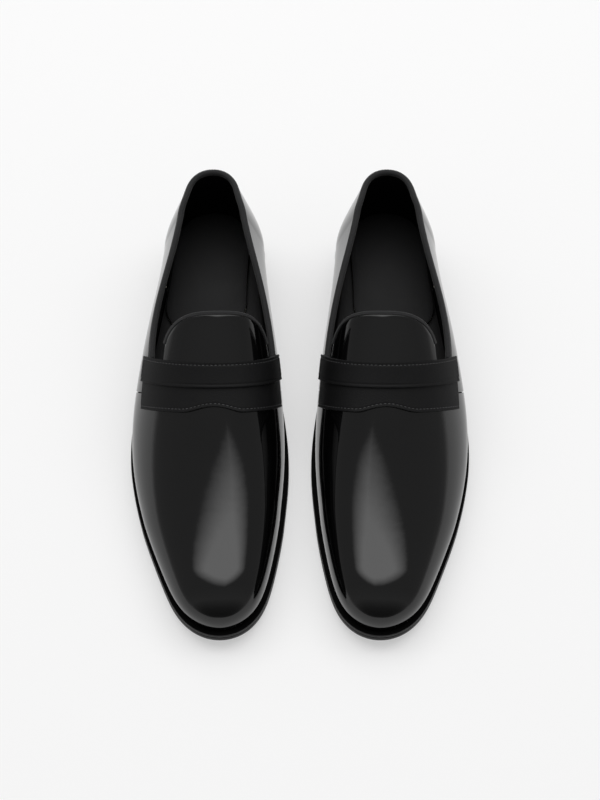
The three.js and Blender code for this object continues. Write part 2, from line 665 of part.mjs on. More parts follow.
// ---------------------------------------------------------------- finishes
const finish = (color, roughness, metalness = 0) =>
  new THREE.MeshStandardMaterial({ color, roughness, metalness });
const FINISHES = {
  patent: finish(0x1a1a1c, 0.12),
  saddle: finish(0x242426, 0.75),
  ribbon: finish(0x3a3a3c, 0.85),
  lining: finish(0x1c1c1e, 0.6),
  sole: finish(0x161616, 0.4),
  rubber: finish(0x202020, 0.8),
  board: finish(0xb8a488, 0.9),
  cork: finish(0x9a7448, 0.95),
  foam: finish(0x6c6a66, 0.95),
  stiffener: finish(0xd8d2c4, 0.8),
  steel: finish(0x8c9094, 0.35, 1),
};

// ---------------------------------------------------------------- one shoe
// Every piece of the right shoe, as [name, finish, geometry].
const PIECES = [
  ["outsole", "sole", nailed(outsole())],
  ["welt", "sole", welt()],
  ["heel_top_piece", "rubber", topPiece()],
  ["heel_lift_lower", "sole", flatLift(0)],
  ["heel_lift_middle", "sole", nailed(flatLift(1))],
  ["heel_lift_upper", "sole", nailed(upperLift())],
  ["insole_board", "board", nailed(insoleBoard())],
  ["shank", "steel", shank()],
  ["bottom_filler", "cork", bottomFiller()],
  ["sock_lining", "lining", sockLining()],
  ["heel_pad", "foam", heelPad()],
  ["heel_sock", "lining", heelSock()],
  ...NAIL_PLACES.map((place, i) => [`heel_nail_${i + 1}`, "steel", nail(place)]),
  ["vamp", "patent", vampSheet(0, UPPER, { lasted: true })],
  ["lateral_quarter", "patent", sidePanel(LATERAL, PANEL_START, 0, UPPER, true)],
  ["medial_quarter", "patent", sidePanel(MEDIAL, PANEL_START, 0, UPPER, true)],
  ["back_strip", "patent", backStrip()],
  ["toe_puff", "stiffener", toePuff()],
  ["heel_counter", "stiffener", heelCounter()],
  ["vamp_lining", "lining", vampSheet(LINING_DEPTH, LINING)],
  ["lateral_lining", "lining", sidePanel(LATERAL, GRIP_END + 0.004, LINING_DEPTH, LINING, false)],
  ["medial_lining", "lining", sidePanel(MEDIAL, GRIP_END + 0.004, LINING_DEPTH, LINING, false)],
  ["heel_grip", "lining", heelGrip()],
  ["topline_binding", "ribbon", toplineBinding()],
  ["tongue_piping", "ribbon", tonguePiping()],
  ["saddle_lower", "saddle", saddleLower()],
  ["saddle_upper", "saddle", saddleUpper()],
];

// The left shoe is the mirror image of the right one.
function mirrored(geometry) {
  const image = geometry.clone();
  image.scale(-1, 1, 1);
  for (let k = 0; k < image.index.count; k += 3) {
    const [b, c] = [image.index.getX(k + 1), image.index.getX(k + 2)];
    image.index.setX(k + 1, c);
    image.index.setX(k + 2, b);
  }
  return image;
}

function shoe(name, shape, place, turn) {
  const pieces = new THREE.Group();
  pieces.position.y = -FEATHER_LENGTH / 2;
  for (const [piece, material, geometry] of PIECES) {
    const mesh = new THREE.Mesh(shape(geometry), FINISHES[material]);
    mesh.name = `${name}_${piece}`;
    pieces.add(mesh);
  }
  const standing = new THREE.Group();
  standing.position.x = place;
  standing.rotation.z = Math.PI + turn;
  standing.add(pieces);
  return standing;
}

// The origin is on the floor, in the middle of the pair.
const loafers = new THREE.Group();
loafers.add(
  shoe("right", (geometry) => geometry, -PAIR_OFFSET, TOE_IN),
  shoe("left", mirrored, PAIR_OFFSET, -TOE_IN),
);
const reach = new THREE.Box3().setFromObject(loafers);
loafers.position.y = -(reach.min.y + reach.max.y) / 2;

export default loafers;
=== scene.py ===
import math

import bpy
import numpy as np
from mathutils import Matrix, Vector


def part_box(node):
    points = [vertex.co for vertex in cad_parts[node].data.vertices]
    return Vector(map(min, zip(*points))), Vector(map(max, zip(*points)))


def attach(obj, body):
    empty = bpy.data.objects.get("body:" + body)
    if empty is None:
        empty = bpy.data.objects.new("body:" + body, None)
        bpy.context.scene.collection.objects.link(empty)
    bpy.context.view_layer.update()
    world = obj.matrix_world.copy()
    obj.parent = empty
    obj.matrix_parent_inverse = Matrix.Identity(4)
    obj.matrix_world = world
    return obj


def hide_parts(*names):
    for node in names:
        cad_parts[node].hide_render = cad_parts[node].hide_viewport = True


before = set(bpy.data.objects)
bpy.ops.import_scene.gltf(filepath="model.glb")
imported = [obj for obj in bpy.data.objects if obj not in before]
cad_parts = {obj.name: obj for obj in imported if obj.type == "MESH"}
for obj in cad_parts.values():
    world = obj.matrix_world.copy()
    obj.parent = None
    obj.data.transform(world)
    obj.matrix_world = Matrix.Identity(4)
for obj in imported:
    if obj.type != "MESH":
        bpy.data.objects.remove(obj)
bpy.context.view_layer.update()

MM = 0.001
SHOES = ("right", "left")


# ---------------------------------------- studio
# A plain pale floor under a dim ceiling, with bright walls low down all round and one softbox
# overhead, a diamond wider than it is long. Nothing here is part of the shoes.
class Signal:
    """A node's output. Sums, differences and products with it add their Math nodes."""

    def __init__(self, tree, socket):
        self.tree = tree
        self.socket = socket

    def _math(self, operation, *values):
        return node(self.tree, "ShaderNodeMath", {"operation": operation}, dict(enumerate(values)))

    def __add__(self, other):
        return self._math("ADD", self, other)

    def __sub__(self, other):
        return self._math("SUBTRACT", self, other)

    def __rsub__(self, other):
        return self._math("SUBTRACT", other, self)

    def __mul__(self, other):
        return self._math("MULTIPLY", self, other)

    def __abs__(self):
        return self._math("ABSOLUTE", self)

    __radd__ = __add__
    __rmul__ = __mul__


def node(tree, kind, settings=None, sockets=None, output=0):
    """Any node: its settings first, then the values or links of its sockets."""
    made = tree.nodes.new(kind)
    for name, value in (settings or {}).items():
        if name == "stops":
            stops = made.color_ramp.elements
            for k, (place, shade) in enumerate(value):
                stop = stops[k] if k < len(stops) else stops.new(place)
                stop.position = place
                stop.color = (*shade, 1) if isinstance(shade, tuple) else (shade, shade, shade, 1)
        else:
            setattr(made, name, value)
    for name, value in (sockets or {}).items():
        if isinstance(value, Signal):
            tree.links.new(value.socket, made.inputs[name])
        else:
            made.inputs[name].default_value = value
    return Signal(tree, made.outputs[output]) if made.outputs else None


def material(name):
    """An empty material's node tree."""
    made = bpy.data.materials.new(name)
    made.use_nodes = True
    made.node_tree.nodes.clear()
    return made, made.node_tree


def principled(tree, sockets):
    """The one shader of a material, joined to its output."""
    shader = node(tree, "ShaderNodeBsdfPrincipled", {}, sockets)
    node(tree, "ShaderNodeOutputMaterial", {}, {"Surface": shader})


def object_place(tree):
    return node(tree, "ShaderNodeTexCoord", output=3)


def noise(tree, scale, detail=2.0, rough=0.5, vector=None):
    return node(tree, "ShaderNodeTexNoise", {}, {
        "Vector": vector or object_place(tree), "Scale": scale, "Detail": detail,
        "Roughness": rough})


CEILING = 0.32  # brightness straight up
WALLS = 0.8  # brightness at the horizon

scene = bpy.context.scene
scene.view_settings.view_transform = "Standard"

world = bpy.data.worlds.new("studio")
scene.world = world
world.use_nodes = True
world.node_tree.nodes.clear()
direction = node(world.node_tree, "ShaderNodeTexCoord")
height = node(world.node_tree, "ShaderNodeSeparateXYZ", {}, {0: direction}, output=2)
sky = node(world.node_tree, "ShaderNodeValToRGB", {"stops": [
    (0.0, WALLS), (0.04, 0.52), (0.1, 0.36), (0.25, CEILING), (1.0, CEILING)]}, {0: height})
to_the_back = node(world.node_tree, "ShaderNodeSeparateXYZ", {}, {0: direction}, output=1)
dimming = node(world.node_tree, "ShaderNodeValToRGB", {"stops": [
    (0.0, 0.3), (0.08, 0.5), (0.22, 1.2), (0.4, 1.0), (1.0, 1.0)]}, {0: 0.5 + 0.5 * to_the_back})
room_light = node(world.node_tree, "ShaderNodeBackground", {}, {"Color": sky, "Strength": dimming})
node(world.node_tree, "ShaderNodeOutputWorld", {}, {"Surface": room_light})

SOFTBOX_HALF = (3.6, 1.8)  # from its centre to its corners, across and lengthways
SOFTBOX_PLACE = Vector((0, 0.88, 2.5))
SOFTBOX_GLOW = 2.75
SOFTBOX_FULL = 0.64  # share of the way out up to which it shines in full
bpy.ops.object.select_all(action="DESELECT")
bpy.ops.mesh.primitive_circle_add(vertices=4, radius=1, fill_type="NGON")
softbox = bpy.context.object
softbox.name = "softbox"
for vertex in softbox.data.vertices:
    vertex.co = (vertex.co.x * SOFTBOX_HALF[0], vertex.co.y * SOFTBOX_HALF[1], 0)
softbox.location = SOFTBOX_PLACE
softbox.rotation_euler = (-SOFTBOX_PLACE).to_track_quat("-Z", "Y").to_euler()
softbox.visible_camera = False
silk, tree = material("softbox_silk")
spot = object_place(tree)
across, along = (
    abs(node(tree, "ShaderNodeSeparateXYZ", {}, {0: spot}, output=k) * (1 / SOFTBOX_HALF[k]))
    for k in (0, 1))
fade = node(tree, "ShaderNodeValToRGB", {"stops": [
    (0.0, SOFTBOX_GLOW), (SOFTBOX_FULL, SOFTBOX_GLOW), (1.0, CEILING)]}, {0: across + along})
shine = node(tree, "ShaderNodeEmission", {}, {"Color": fade, "Strength": 1.0})
node(tree, "ShaderNodeOutputMaterial", {}, {"Surface": shine})
softbox.data.materials.append(silk)

FLOOR_RADIUS = 9
FLOOR_GLOW = 0.455  # light that the floor sends back from all round the shoes

bpy.ops.object.select_all(action="DESELECT")
bpy.ops.mesh.primitive_circle_add(vertices=96, radius=FLOOR_RADIUS, fill_type="NGON")
floor = bpy.context.object
floor.name = "floor"
paint, tree = material("pale_floor")
mottle = noise(tree, 3.0, 3.0)
principled(tree, {
    "Base Color": (0.52, 0.52, 0.52, 1), "Roughness": 0.8 + 0.1 * mottle, "Specular IOR Level": 0.1,
    "Emission Color": (1, 1, 1, 1), "Emission Strength": FLOOR_GLOW})
floor.data.materials.append(paint)

ELEVATION = math.radians(61.5)
DISTANCE = 1.400
AIM = Vector((0, 0.001, 0.043))
camera = bpy.data.objects.new("camera", bpy.data.cameras.new("camera"))
camera.data.lens = 100
camera.data.sensor_width = 36
camera.data.shift_y = -0.00375
back = Vector((0, -math.cos(ELEVATION), math.sin(ELEVATION)))
camera.location = AIM + DISTANCE * back
camera.rotation_euler = (-back).to_track_quat("-Z", "Y").to_euler()
scene.collection.objects.link(camera)
scene.camera = camera


# ---------------------------------------- the last
# The wooden form that the upper is pulled over. Nothing of it stays in the shoe, but every layer
# takes its shape: the rounded foot, the lines of its edge and ridge, and the cut of the opening.

# Sizes are in millimetres: u runs forward from the back of the heel, x out to the lateral side
# and z up. A place on the last is a station s from heel to toe along one side, and a share t from
# the feather line, at the edge of the sole, up to the ridge.
FEATHER_LENGTH = 293.0
CLEAR = 0.3  # gap between touching layers
UPPER = 1.1
WALL_BASE = CLEAR + UPPER + CLEAR

# Control values of a cubic B-spline, evenly spaced from heel to toe.
LATERAL_HALF_WIDTH = [29, 30.5, 33.5, 39.5, 45.5, 51.3, 51.6, 47.2, 39.6, 35.6, 41]
MEDIAL_HALF_WIDTH = [29, 30.5, 31, 34, 38.2, 41.2, 42.6, 40.4, 36.6, 35.8, 41.5]
FEATHER_HEIGHT = [29.5, 29.5, 28.5, 24, 16.5, 9.5, 6.6, 6.5, 8.4, 11, 14.5]
RIDGE_HEIGHT = [118, 118, 116, 110, 96, 78, 65, 55, 47, 41, 38]
RIDGE_SHIFT = [0, 0, 0, 0, 1.5, 4, 7.5, 9.5, 8.5, 5, 0]  # towards the medial side
BULGE = [2.4, 2.6, 3.2, 3.4, 3.2, 2.6, 2.3, 2.2, 2.2, 2.2, 2.2]
LATERAL_SHOULDER = [1.45, 1.5, 1.65, 1.95, 2.05, 1.95, 2.15, 2.4, 2.5, 2.6, 2.6]
MEDIAL_SHOULDER = [1.4, 1.4, 1.7, 2.3, 2.6, 2.2, 2.15, 2.4, 2.5, 2.6, 2.6]
BULGE_HEIGHT = 14
BULGE_REACH = 20  # nearer to the middle line than this, the wall bulges less
BACK_SHOULDER = 2.8
BACK_NARROWNESS = 6
HEEL_CENTRE = 36
HEEL_SQUARENESS = 2.15
HEEL_SHARE = 0.18  # stations up to this one go round the back of the heel
TOE_ROUND = 75  # length of the round of the toe in plan
TOE_SQUARENESS = 2
TOE_DROP = 30  # length over which the ridge comes down at the toe
TOE_DROP_SQUARENESS = 2.5
SWING_START = 200  # from here the toe bends over to the medial side
SWING = 3
LATERAL = 1
MEDIAL = -1
BOTH = (LATERAL, MEDIAL)


def arrays(*values):
    return np.broadcast_arrays(*(np.asarray(value, float) for value in values))


def spline(values, share):
    """The curve of the control values at a share of the way along. It runs on straight."""
    last = len(values) - 1
    ends = np.array([2 * values[0] - values[1], *values, 2 * values[-1] - values[-2]], float)
    share = np.asarray(share, float)
    place = np.clip(share, 0, 1) * last
    past = share * last - place
    slope = np.where(past > 0, values[-1] - values[-2], values[1] - values[0])
    i = np.minimum(np.floor(place), last - 1).astype(int)
    t = place - i
    weights = (
        (1 - t) ** 3,
        3 * t ** 3 - 6 * t ** 2 + 4,
        -3 * t ** 3 + 3 * t ** 2 + 3 * t + 1,
        t ** 3,
    )
    return sum(w * ends[i + k] for k, w in enumerate(weights)) / 6 + past * slope


def by_side(side, lateral, medial):
    return np.where(np.asarray(side) > 0, lateral, medial)


def toe_end(u, length, squareness):
    """1 along the shoe, falling to 0 at the tip of the toe."""
    k = np.clip((u - FEATHER_LENGTH + length) / length, 0, 1)
    return (1 - k ** squareness) ** (1 / squareness)


def feather_height(u):
    return spline(FEATHER_HEIGHT, u / FEATHER_LENGTH)


def half_width(side, u):
    """Half the width of the feather line, from its middle line out."""
    share = u / FEATHER_LENGTH
    width = by_side(side, spline(LATERAL_HALF_WIDTH, share), spline(MEDIAL_HALF_WIDTH, share))
    return width * toe_end(u, TOE_ROUND, TOE_SQUARENESS)


def middle_line(u):
    return -SWING * (np.maximum(u - SWING_START, 0) / (FEATHER_LENGTH - SWING_START)) ** 2


def feather(side, s):
    """x, u and turn of the feather line. turn is a right angle at the back of the heel."""
    side, s = arrays(side, s)
    ahead = np.clip((s - HEEL_SHARE) / (1 - HEEL_SHARE), 0, 1) * (math.pi / 2)
    u = HEEL_CENTRE + (FEATHER_LENGTH - HEEL_CENTRE) * np.sin(ahead)
    turn = np.clip(1 - s / HEEL_SHARE, 0, 1) * (math.pi / 2)
    across = np.cos(turn) / half_width(side, np.full_like(s, HEEL_CENTRE))
    back = np.sin(turn) / HEEL_CENTRE
    radius = (across ** HEEL_SQUARENESS + back ** HEEL_SQUARENESS) ** (-1 / HEEL_SQUARENESS)
    behind = s < HEEL_SHARE
    x = middle_line(u) + side * np.where(behind, radius * np.cos(turn), half_width(side, u))
    return x, np.where(behind, HEEL_CENTRE - radius * np.sin(turn), u), turn


def station_at(u):
    """The station at which the feather line is at u, in front of the heel's centre."""
    angle = math.asin((u - HEEL_CENTRE) / (FEATHER_LENGTH - HEEL_CENTRE))
    return HEEL_SHARE + (1 - HEEL_SHARE) * angle / (math.pi / 2)


def outer(side, s, t):
    """The outer face of the finished upper."""
    side, s, t = arrays(side, s, t)
    x, u, turn = feather(side, s)
    ridge = np.maximum(u, HEEL_CENTRE)
    share = ridge / FEATHER_LENGTH
    shoulder = by_side(side, spline(LATERAL_SHOULDER, share), spline(MEDIAL_SHOULDER, share))
    shoulder = shoulder + (BACK_SHOULDER - shoulder) * np.sin(turn) ** BACK_NARROWNESS
    low = feather_height(u) + WALL_BASE
    angle = t * math.pi / 2
    rise = (np.clip(np.sin(angle), 0, 1) ** (2 / shoulder)
            * (spline(RIDGE_HEIGHT, share) - low)
            * toe_end(u, TOE_DROP, TOE_DROP_SQUARENESS))
    middle = middle_line(u)
    reach = np.hypot(x - middle, ridge - u)
    lift = rise / BULGE_HEIGHT
    bulge = (spline(BULGE, u / FEATHER_LENGTH) * lift * np.exp(1 - lift)
             * np.minimum(1, reach / BULGE_REACH))
    narrowing = np.clip(np.cos(angle), 0, 1) ** (2 / shoulder)
    scale = np.where(reach > 1e-6, (reach + bulge) * narrowing / np.maximum(reach, 1e-6), 0)
    lean = (spline(RIDGE_SHIFT, share) * np.sin(angle) ** 2
            * toe_end(u, TOE_ROUND, TOE_SQUARENESS))
    return np.stack([
        middle + (x - middle) * scale - lean, ridge + (u - ridge) * scale, low + rise], -1)


def unit(vectors):
    return vectors / np.maximum(np.linalg.norm(vectors, axis=-1, keepdims=True), 1e-12)


def plan_normal(side, s):
    """Outward direction of the feather line in plan."""
    side, s = arrays(side, s)
    step = 1e-4
    ax, au, _ = feather(side, np.maximum(s - step, 0))
    bx, bu, _ = feather(side, np.minimum(s + step, 1))
    normal = np.stack([side * (bu - au), -side * (bx - ax), np.zeros_like(ax)], -1)
    normal[s <= 0] = (0, -1, 0)
    normal[s >= 1] = (0, 1, 0)
    return unit(normal)


def outer_normal(side, s, t):
    side, s, t = arrays(side, s, t)
    step = 1e-3
    ahead = outer(side, np.minimum(s + step, 1 - step / 4), t)
    forward = ahead - outer(side, np.maximum(s - step, 0), t)
    upward = outer(side, s, np.minimum(t + step, 1)) - outer(side, s, np.maximum(t - step, 0))
    normal = unit(np.cross(forward, upward) * side[..., None])
    normal[s > 1 - 1e-6] = (0, 1, 0)
    middle = (t >= 1) | (s <= 0)
    normal[middle] = unit(normal[middle] * (0, 1, 1))
    return normal


def under(side, s, t, depth):
    """A point below the outer face, or above it where depth is negative."""
    depth = np.asarray(depth, float)
    return outer(side, s, t) - outer_normal(side, s, t) * depth[..., None]


def solve(rising, value):
    """The shares in 0 to 1 at which a rising function reaches the given values."""
    low = np.zeros_like(np.asarray(value, float))
    high = np.ones_like(low)
    for _ in range(30):
        middle = (low + high) / 2
        short = rising(middle) < value
        low = np.where(short, middle, low)
        high = np.where(short, high, middle)
    return low


def station_beside(reach):
    """The station, round the back of the heel, at which the feather line is this far out."""
    return HEEL_SHARE * float(solve(lambda k: np.abs(feather(LATERAL, k * HEEL_SHARE)[0]), reach))


def sole_edge(side, s, out):
    """x and u of a point outside the feather line in plan, or inside it where out is negative."""
    x, u, _ = feather(side, s)
    normal = plan_normal(side, s)
    return x + normal[..., 0] * out, u + normal[..., 1] * out


# The foot opening and the instep. Planes square to the instep are numbered by their distance
# forward and down its slope.
LATERAL_TOPLINE = [88, 87.5, 80, 69, 61, 58]
MEDIAL_TOPLINE = [88, 87.5, 80, 68, 58, 51]
TOPLINE_LENGTH = 130
INSTEP_SLOPE = math.radians(31)


def topline(side, s, drop=0):
    """The share at which the wall reaches the edge of the foot opening, less a drop."""
    side, s, drop = arrays(side, s, drop)
    share = feather(side, s)[1] / TOPLINE_LENGTH
    level = by_side(side, spline(LATERAL_TOPLINE, share), spline(MEDIAL_TOPLINE, share))
    return solve(lambda t: outer(side, s, t)[..., 2], level - drop)


def instep_place(points):
    """The number of the plane that each point is in."""
    return points[..., 1] * math.cos(INSTEP_SLOPE) - points[..., 2] * math.sin(INSTEP_SLOPE)


def station_across(side, t, place):
    """The station at which the wall, at share t, crosses a plane of the instep."""
    side, t, place = arrays(side, t, place)
    return solve(lambda s: instep_place(outer(side, s, t)), place)


# A right shoe stands with its toe along -Y, turned in a little. It is set lengthways by the tip
# of the frame's outsole.
PAIR_OFFSET = 54
TOE_IN = math.radians(0.85)
LATERAL_EDGE = [2.2, 2.2, 1.8, 1.2, 1.2, 2.6, 3.6, 3, 2.8, 3, 3.4]
MEDIAL_EDGE = [2.2, 2.2, 1.8, 1.2, 1.2, 3.5, 4.7, 4.4, 4, 3.6, 3.4]


def sole_margin(side, s):
    """How far the sole stands out from the feather line."""
    share = feather(side, s)[1] / FEATHER_LENGTH
    return by_side(side, spline(LATERAL_EDGE, share), spline(MEDIAL_EDGE, share))


def turned(points):
    """Points of the last, in metres, turned in and set out to the right shoe's side."""
    x, y = points[..., 0], points[..., 1] - FEATHER_LENGTH / 2
    c, s = math.cos(TOE_IN), math.sin(TOE_IN)
    return np.stack([-PAIR_OFFSET - x * c + y * s, -x * s - y * c, points[..., 2]], -1) * MM


toe_stations = np.linspace(0.9, 1, 200)
toe_x, toe_u = sole_edge(LATERAL, toe_stations, sole_margin(LATERAL, toe_stations))
toe_tip = turned(np.stack([toe_x, toe_u, np.zeros_like(toe_u)], -1))[:, 1].min()
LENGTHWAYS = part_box("right_outsole")[0].y - toe_tip


def stand(points):
    """Points of the right shoe, in metres, where the frame has it."""
    return turned(np.asarray(points, float)) + (0, LENGTHWAYS, 0)


# ---------------------------------------- insole, shank, filler, nails
# The fibre board that the upper is lasted over, the steel shank and the cork that fill its
# underside, and the steel nails driven through it into the heel. All are closed in.
def bump(tree, height, depth):
    return node(tree, "ShaderNodeBump", {}, {
        "Height": height, "Distance": depth * MM, "Strength": 1.0})


def cells(tree, scale):
    return node(tree, "ShaderNodeTexVoronoi", {}, {"Vector": object_place(tree), "Scale": scale})


def shade_between(tree, share, dark, light):
    return node(tree, "ShaderNodeMix", {"data_type": "RGBA"}, {
        0: share, 6: (*dark, 1), 7: (*light, 1)}, output=2)


def repaint(finish, *nodes):
    """Gives a carried-over part of the frame its material."""
    for shoe in SHOES:
        for name in nodes:
            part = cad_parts[f"{shoe}_{name}"]
            part.data.materials.clear()
            part.data.materials.append(finish)


board, tree = material("insole_board")
fibre = noise(tree, 900, 4.0, 0.7)
principled(tree, {
    "Base Color": shade_between(tree, fibre, (0.42, 0.33, 0.22), (0.62, 0.53, 0.40)),
    "Roughness": 0.75 + 0.2 * fibre,
    "Normal": bump(tree, fibre, 0.06)})
repaint(board, "insole_board")

steel, tree = material("spring_steel")
lap = noise(tree, 160, 3.0)
principled(tree, {
    "Base Color": (0.5, 0.52, 0.54, 1), "Metallic": 1.0, "Roughness": 0.25 + 0.2 * lap,
    "Normal": bump(tree, lap, 0.02)})
repaint(steel, "shank", "heel_nail_1", "heel_nail_2", "heel_nail_3")

cork, tree = material("ground_cork")
grains = cells(tree, 550.0)
crumbs = noise(tree, 420, 3.0)
principled(tree, {
    "Base Color": shade_between(tree, crumbs, (0.20, 0.11, 0.05), (0.55, 0.36, 0.18)),
    "Roughness": 0.8 + 0.15 * crumbs,
    "Normal": bump(tree, grains, 0.25)})
repaint(cork, "bottom_filler")


# ---------------------------------------- toe puff and heel counter
# Thin felt stiffeners soaked in resin, laid between the leather and the lining before lasting.
# They keep the toe and the heel in shape.
STIFFENER = 0.7
STIFFENER_DEPTH = UPPER + CLEAR
PUFF_LENGTH = 62
COUNTER_LENGTH = 78
COUNTER_LEVEL = 0.55  # share of the wall that the counter covers

INSIDE = stand(np.array([0, 120.0, 40.0]))  # a point in the hollow of the shoe
MERGE = 2e-6  # points this close, in metres, become one
CUT_EDGE = 50  # degrees, from which a corner counts as a cut edge


def edit_all(operator, **settings):
    """One edit-mode operator, on the whole of the active piece."""
    bpy.ops.object.mode_set(mode="EDIT")
    bpy.ops.mesh.select_all(action="SELECT")
    operator(**settings)
    bpy.ops.object.mode_set(mode="OBJECT")


def apply(piece, kind, **settings):
    """One modifier, set and applied."""
    modifier = piece.modifiers.new(kind.lower(), kind)
    for name, value in settings.items():
        setattr(modifier, name, value)
    bpy.context.view_layer.objects.active = piece
    bpy.ops.object.modifier_apply(modifier=modifier.name)


def smooth(piece, angle=40):
    bpy.ops.object.select_all(action="DESELECT")
    piece.select_set(True)
    bpy.context.view_layer.objects.active = piece
    bpy.ops.object.shade_smooth_by_angle(angle=math.radians(angle))


def signed_volume(piece, about):
    """Above 0 where the faces point away from a point."""
    faces = piece.data.polygons
    centres, normals, areas = np.zeros(len(faces) * 3), np.zeros(len(faces) * 3), np.zeros(len(faces))
    faces.foreach_get("center", centres)
    faces.foreach_get("normal", normals)
    faces.foreach_get("area", areas)
    reach = centres.reshape(-1, 3) - about
    return float(((reach * normals.reshape(-1, 3)).sum(1) * areas).sum())


def grid(name, points, closed=False):
    """A grid primitive laid on rows of points, facing out. A closed one joins its last column
    to its first."""
    points = np.asarray(points, float)
    if closed:
        points = np.concatenate([points, points[:, :1]], 1)
    rows, columns = points.shape[:2]
    bpy.ops.object.select_all(action="DESELECT")
    bpy.ops.mesh.primitive_grid_add(x_subdivisions=columns - 1, y_subdivisions=rows - 1, size=1)
    piece = bpy.context.object
    piece.name = name
    mesh = piece.data
    corners = np.zeros(len(mesh.vertices) * 3)
    mesh.vertices.foreach_get("co", corners)
    corners = corners.reshape(-1, 3) + 0.5
    column = np.rint(corners[:, 0] * (columns - 1)).astype(int)
    row = np.rint(corners[:, 1] * (rows - 1)).astype(int)
    mesh.vertices.foreach_set("co", stand(points[row, column]).ravel())
    mesh.update()
    edit_all(bpy.ops.mesh.remove_doubles, threshold=MERGE)
    if signed_volume(piece, INSIDE) < 0:
        edit_all(bpy.ops.mesh.flip_normals)
    return piece


def skin(name, points, thickness, edge=0.25, segments=2):
    """A sheet of leather given by its outer face, with its thickness and softened cut edges."""
    piece = grid(name, points)
    apply(piece, "SOLIDIFY", thickness=thickness * MM, offset=-1, use_even_offset=True)
    if edge:
        apply(piece, "BEVEL", width=edge * MM, segments=segments, limit_method="ANGLE",
              angle_limit=math.radians(CUT_EDGE), use_clamp_overlap=False)
    smooth(piece)
    return piece


def fit_pair(piece, finish, slot, *nodes):
    """Finishes a right-hand piece, makes its left-hand mirror image and fits both."""
    piece.data.materials.clear()
    piece.data.materials.append(finish)
    base = piece.name
    other = piece.copy()
    other.data = piece.data.copy()
    scene.collection.objects.link(other)
    other.data.transform(Matrix.Scale(-1, 4, (1, 0, 0)))
    other.data.flip_normals()
    for shoe, part in zip(SHOES, (piece, other)):
        part.name = f"{base}_{shoe}"
        part.data.name = part.name
        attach(part, "root")
        if nodes:
            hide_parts(*[f"{shoe}_{name}" for name in nodes])
    return piece, other


TONGUE_REAR = 51
TONGUE_SQUARENESS = 2.6
TONGUE_RISE = 0.07  # share between the topline and the side of the tongue
TONGUE_UNDER = 2  # how far its sides run in under the saddle
TONGUE_CORNER = 0.008  # share over which the seam turns up into the tongue's side
SADDLE_REAR = 80.2
SEAM = 100  # the vamp meets the quarters under the saddle
SIDE_SHARE = 0.4  # about where the saddle and the seam meet the topline
TONGUE_SIDE = {
    side: TONGUE_RISE + max(float(topline(side, station_across(side, SIDE_SHARE, place)))
                            for place in (SADDLE_REAR, SEAM)) for side in BOTH}


def vamp_rear(side, t):
    """The place of the rear edge of the vamp: the round of the tongue, or the seam below it."""
    low = TONGUE_SIDE[side]
    k = np.clip((1 - t) / (1 - low), 0, 1)
    rounding = 1 - (1 - k ** TONGUE_SQUARENESS) ** (1 / TONGUE_SQUARENESS)
    tongue = TONGUE_REAR + (SADDLE_REAR + TONGUE_UNDER - TONGUE_REAR) * rounding
    return np.where(t < low, SEAM, tongue)


def over_the_ridge(rows_of):
    """Joins what rows_of(side) gives for both sides, lateral first, over the ridge."""
    return np.concatenate([rows_of(LATERAL), rows_of(MEDIAL)[:, -2::-1]], 1)


def vamp_shares(side):
    """Shares up the vamp's wall to the tongue's side, then closer ones over the tongue."""
    low = TONGUE_SIDE[side]
    return np.concatenate([
        np.linspace(0, low - TONGUE_CORNER, 24), 1 - (1 - low) * np.linspace(1, 0, 30) ** 1.25])


MARGIN = 12  # upper turned in under the insole board
TURN = 1.4  # radius at which it turns in


def lasted_in(side, s, way):
    """The outer face of the lasting margin, a way in from the wall over the feather edge."""
    side, s, way = arrays(side, s, way)
    quarter = TURN * math.pi / 2
    angle = np.minimum(way, quarter) / TURN
    inset = TURN * (1 - np.cos(angle)) + np.maximum(way - quarter, 0)
    x, u = sole_edge(side, s, -inset)
    rise = WALL_BASE - TURN * np.sin(angle)
    return np.stack([x, u, feather_height(feather(side, s)[1]) + rise], -1)


WAYS_IN = np.concatenate([np.linspace(MARGIN, 3.2, 5), np.linspace(2.2, 0.35, 6)])


def vamp_face(depth, steps, lasted=False):
    """Rows of points of the vamp or a layer under it, from the rear edge to the toe."""
    def half(side):
        shares = vamp_shares(side)
        rear = station_across(side, shares, vamp_rear(side, shares))
        s = rear + (1 - rear) * np.asarray(steps)[:, None]
        rows = under(side, s, shares, np.full_like(s, depth))
        return np.concatenate([lasted_in(side, s[:, :1], WAYS_IN), rows], 1) if lasted else rows
    return over_the_ridge(half)


def quarter_face(side, start, depth, levels, count, lasted=False, end=None):
    """Rows of points of one side wall, from a station at the heel to the seam or to an end."""
    seam = station_across(side, 0, SEAM) * np.ones_like(levels)
    for _ in range(8):
        seam = station_across(side, levels * topline(side, seam, CLEAR), SEAM - 2 * CLEAR)
    if end is not None:
        seam = np.full_like(levels, end)
    s = start + (seam - start) * np.linspace(0, 1, count)[:, None]
    rows = under(side, s, levels * topline(side, s, CLEAR), depth + 0 * s)
    return np.concatenate([lasted_in(side, s[:, :1], WAYS_IN), rows], 1) if lasted else rows


def back_face(end, levels, depth, count=50):
    """Rows of points round the back of the heel, from the lateral end to the medial end."""
    halves = [quarter_face(side, 0.0, depth, levels, count, end=end) for side in BOTH]
    return np.concatenate([halves[0][::-1], halves[1][1:]])


felt, tree = material("stiffener_felt")
hair = noise(tree, 1300, 4.0, 0.7)
principled(tree, {
    "Base Color": shade_between(tree, hair, (0.60, 0.56, 0.47), (0.80, 0.77, 0.70)),
    "Roughness": 0.8 + 0.15 * hair,
    "Normal": bump(tree, hair, 0.08)})

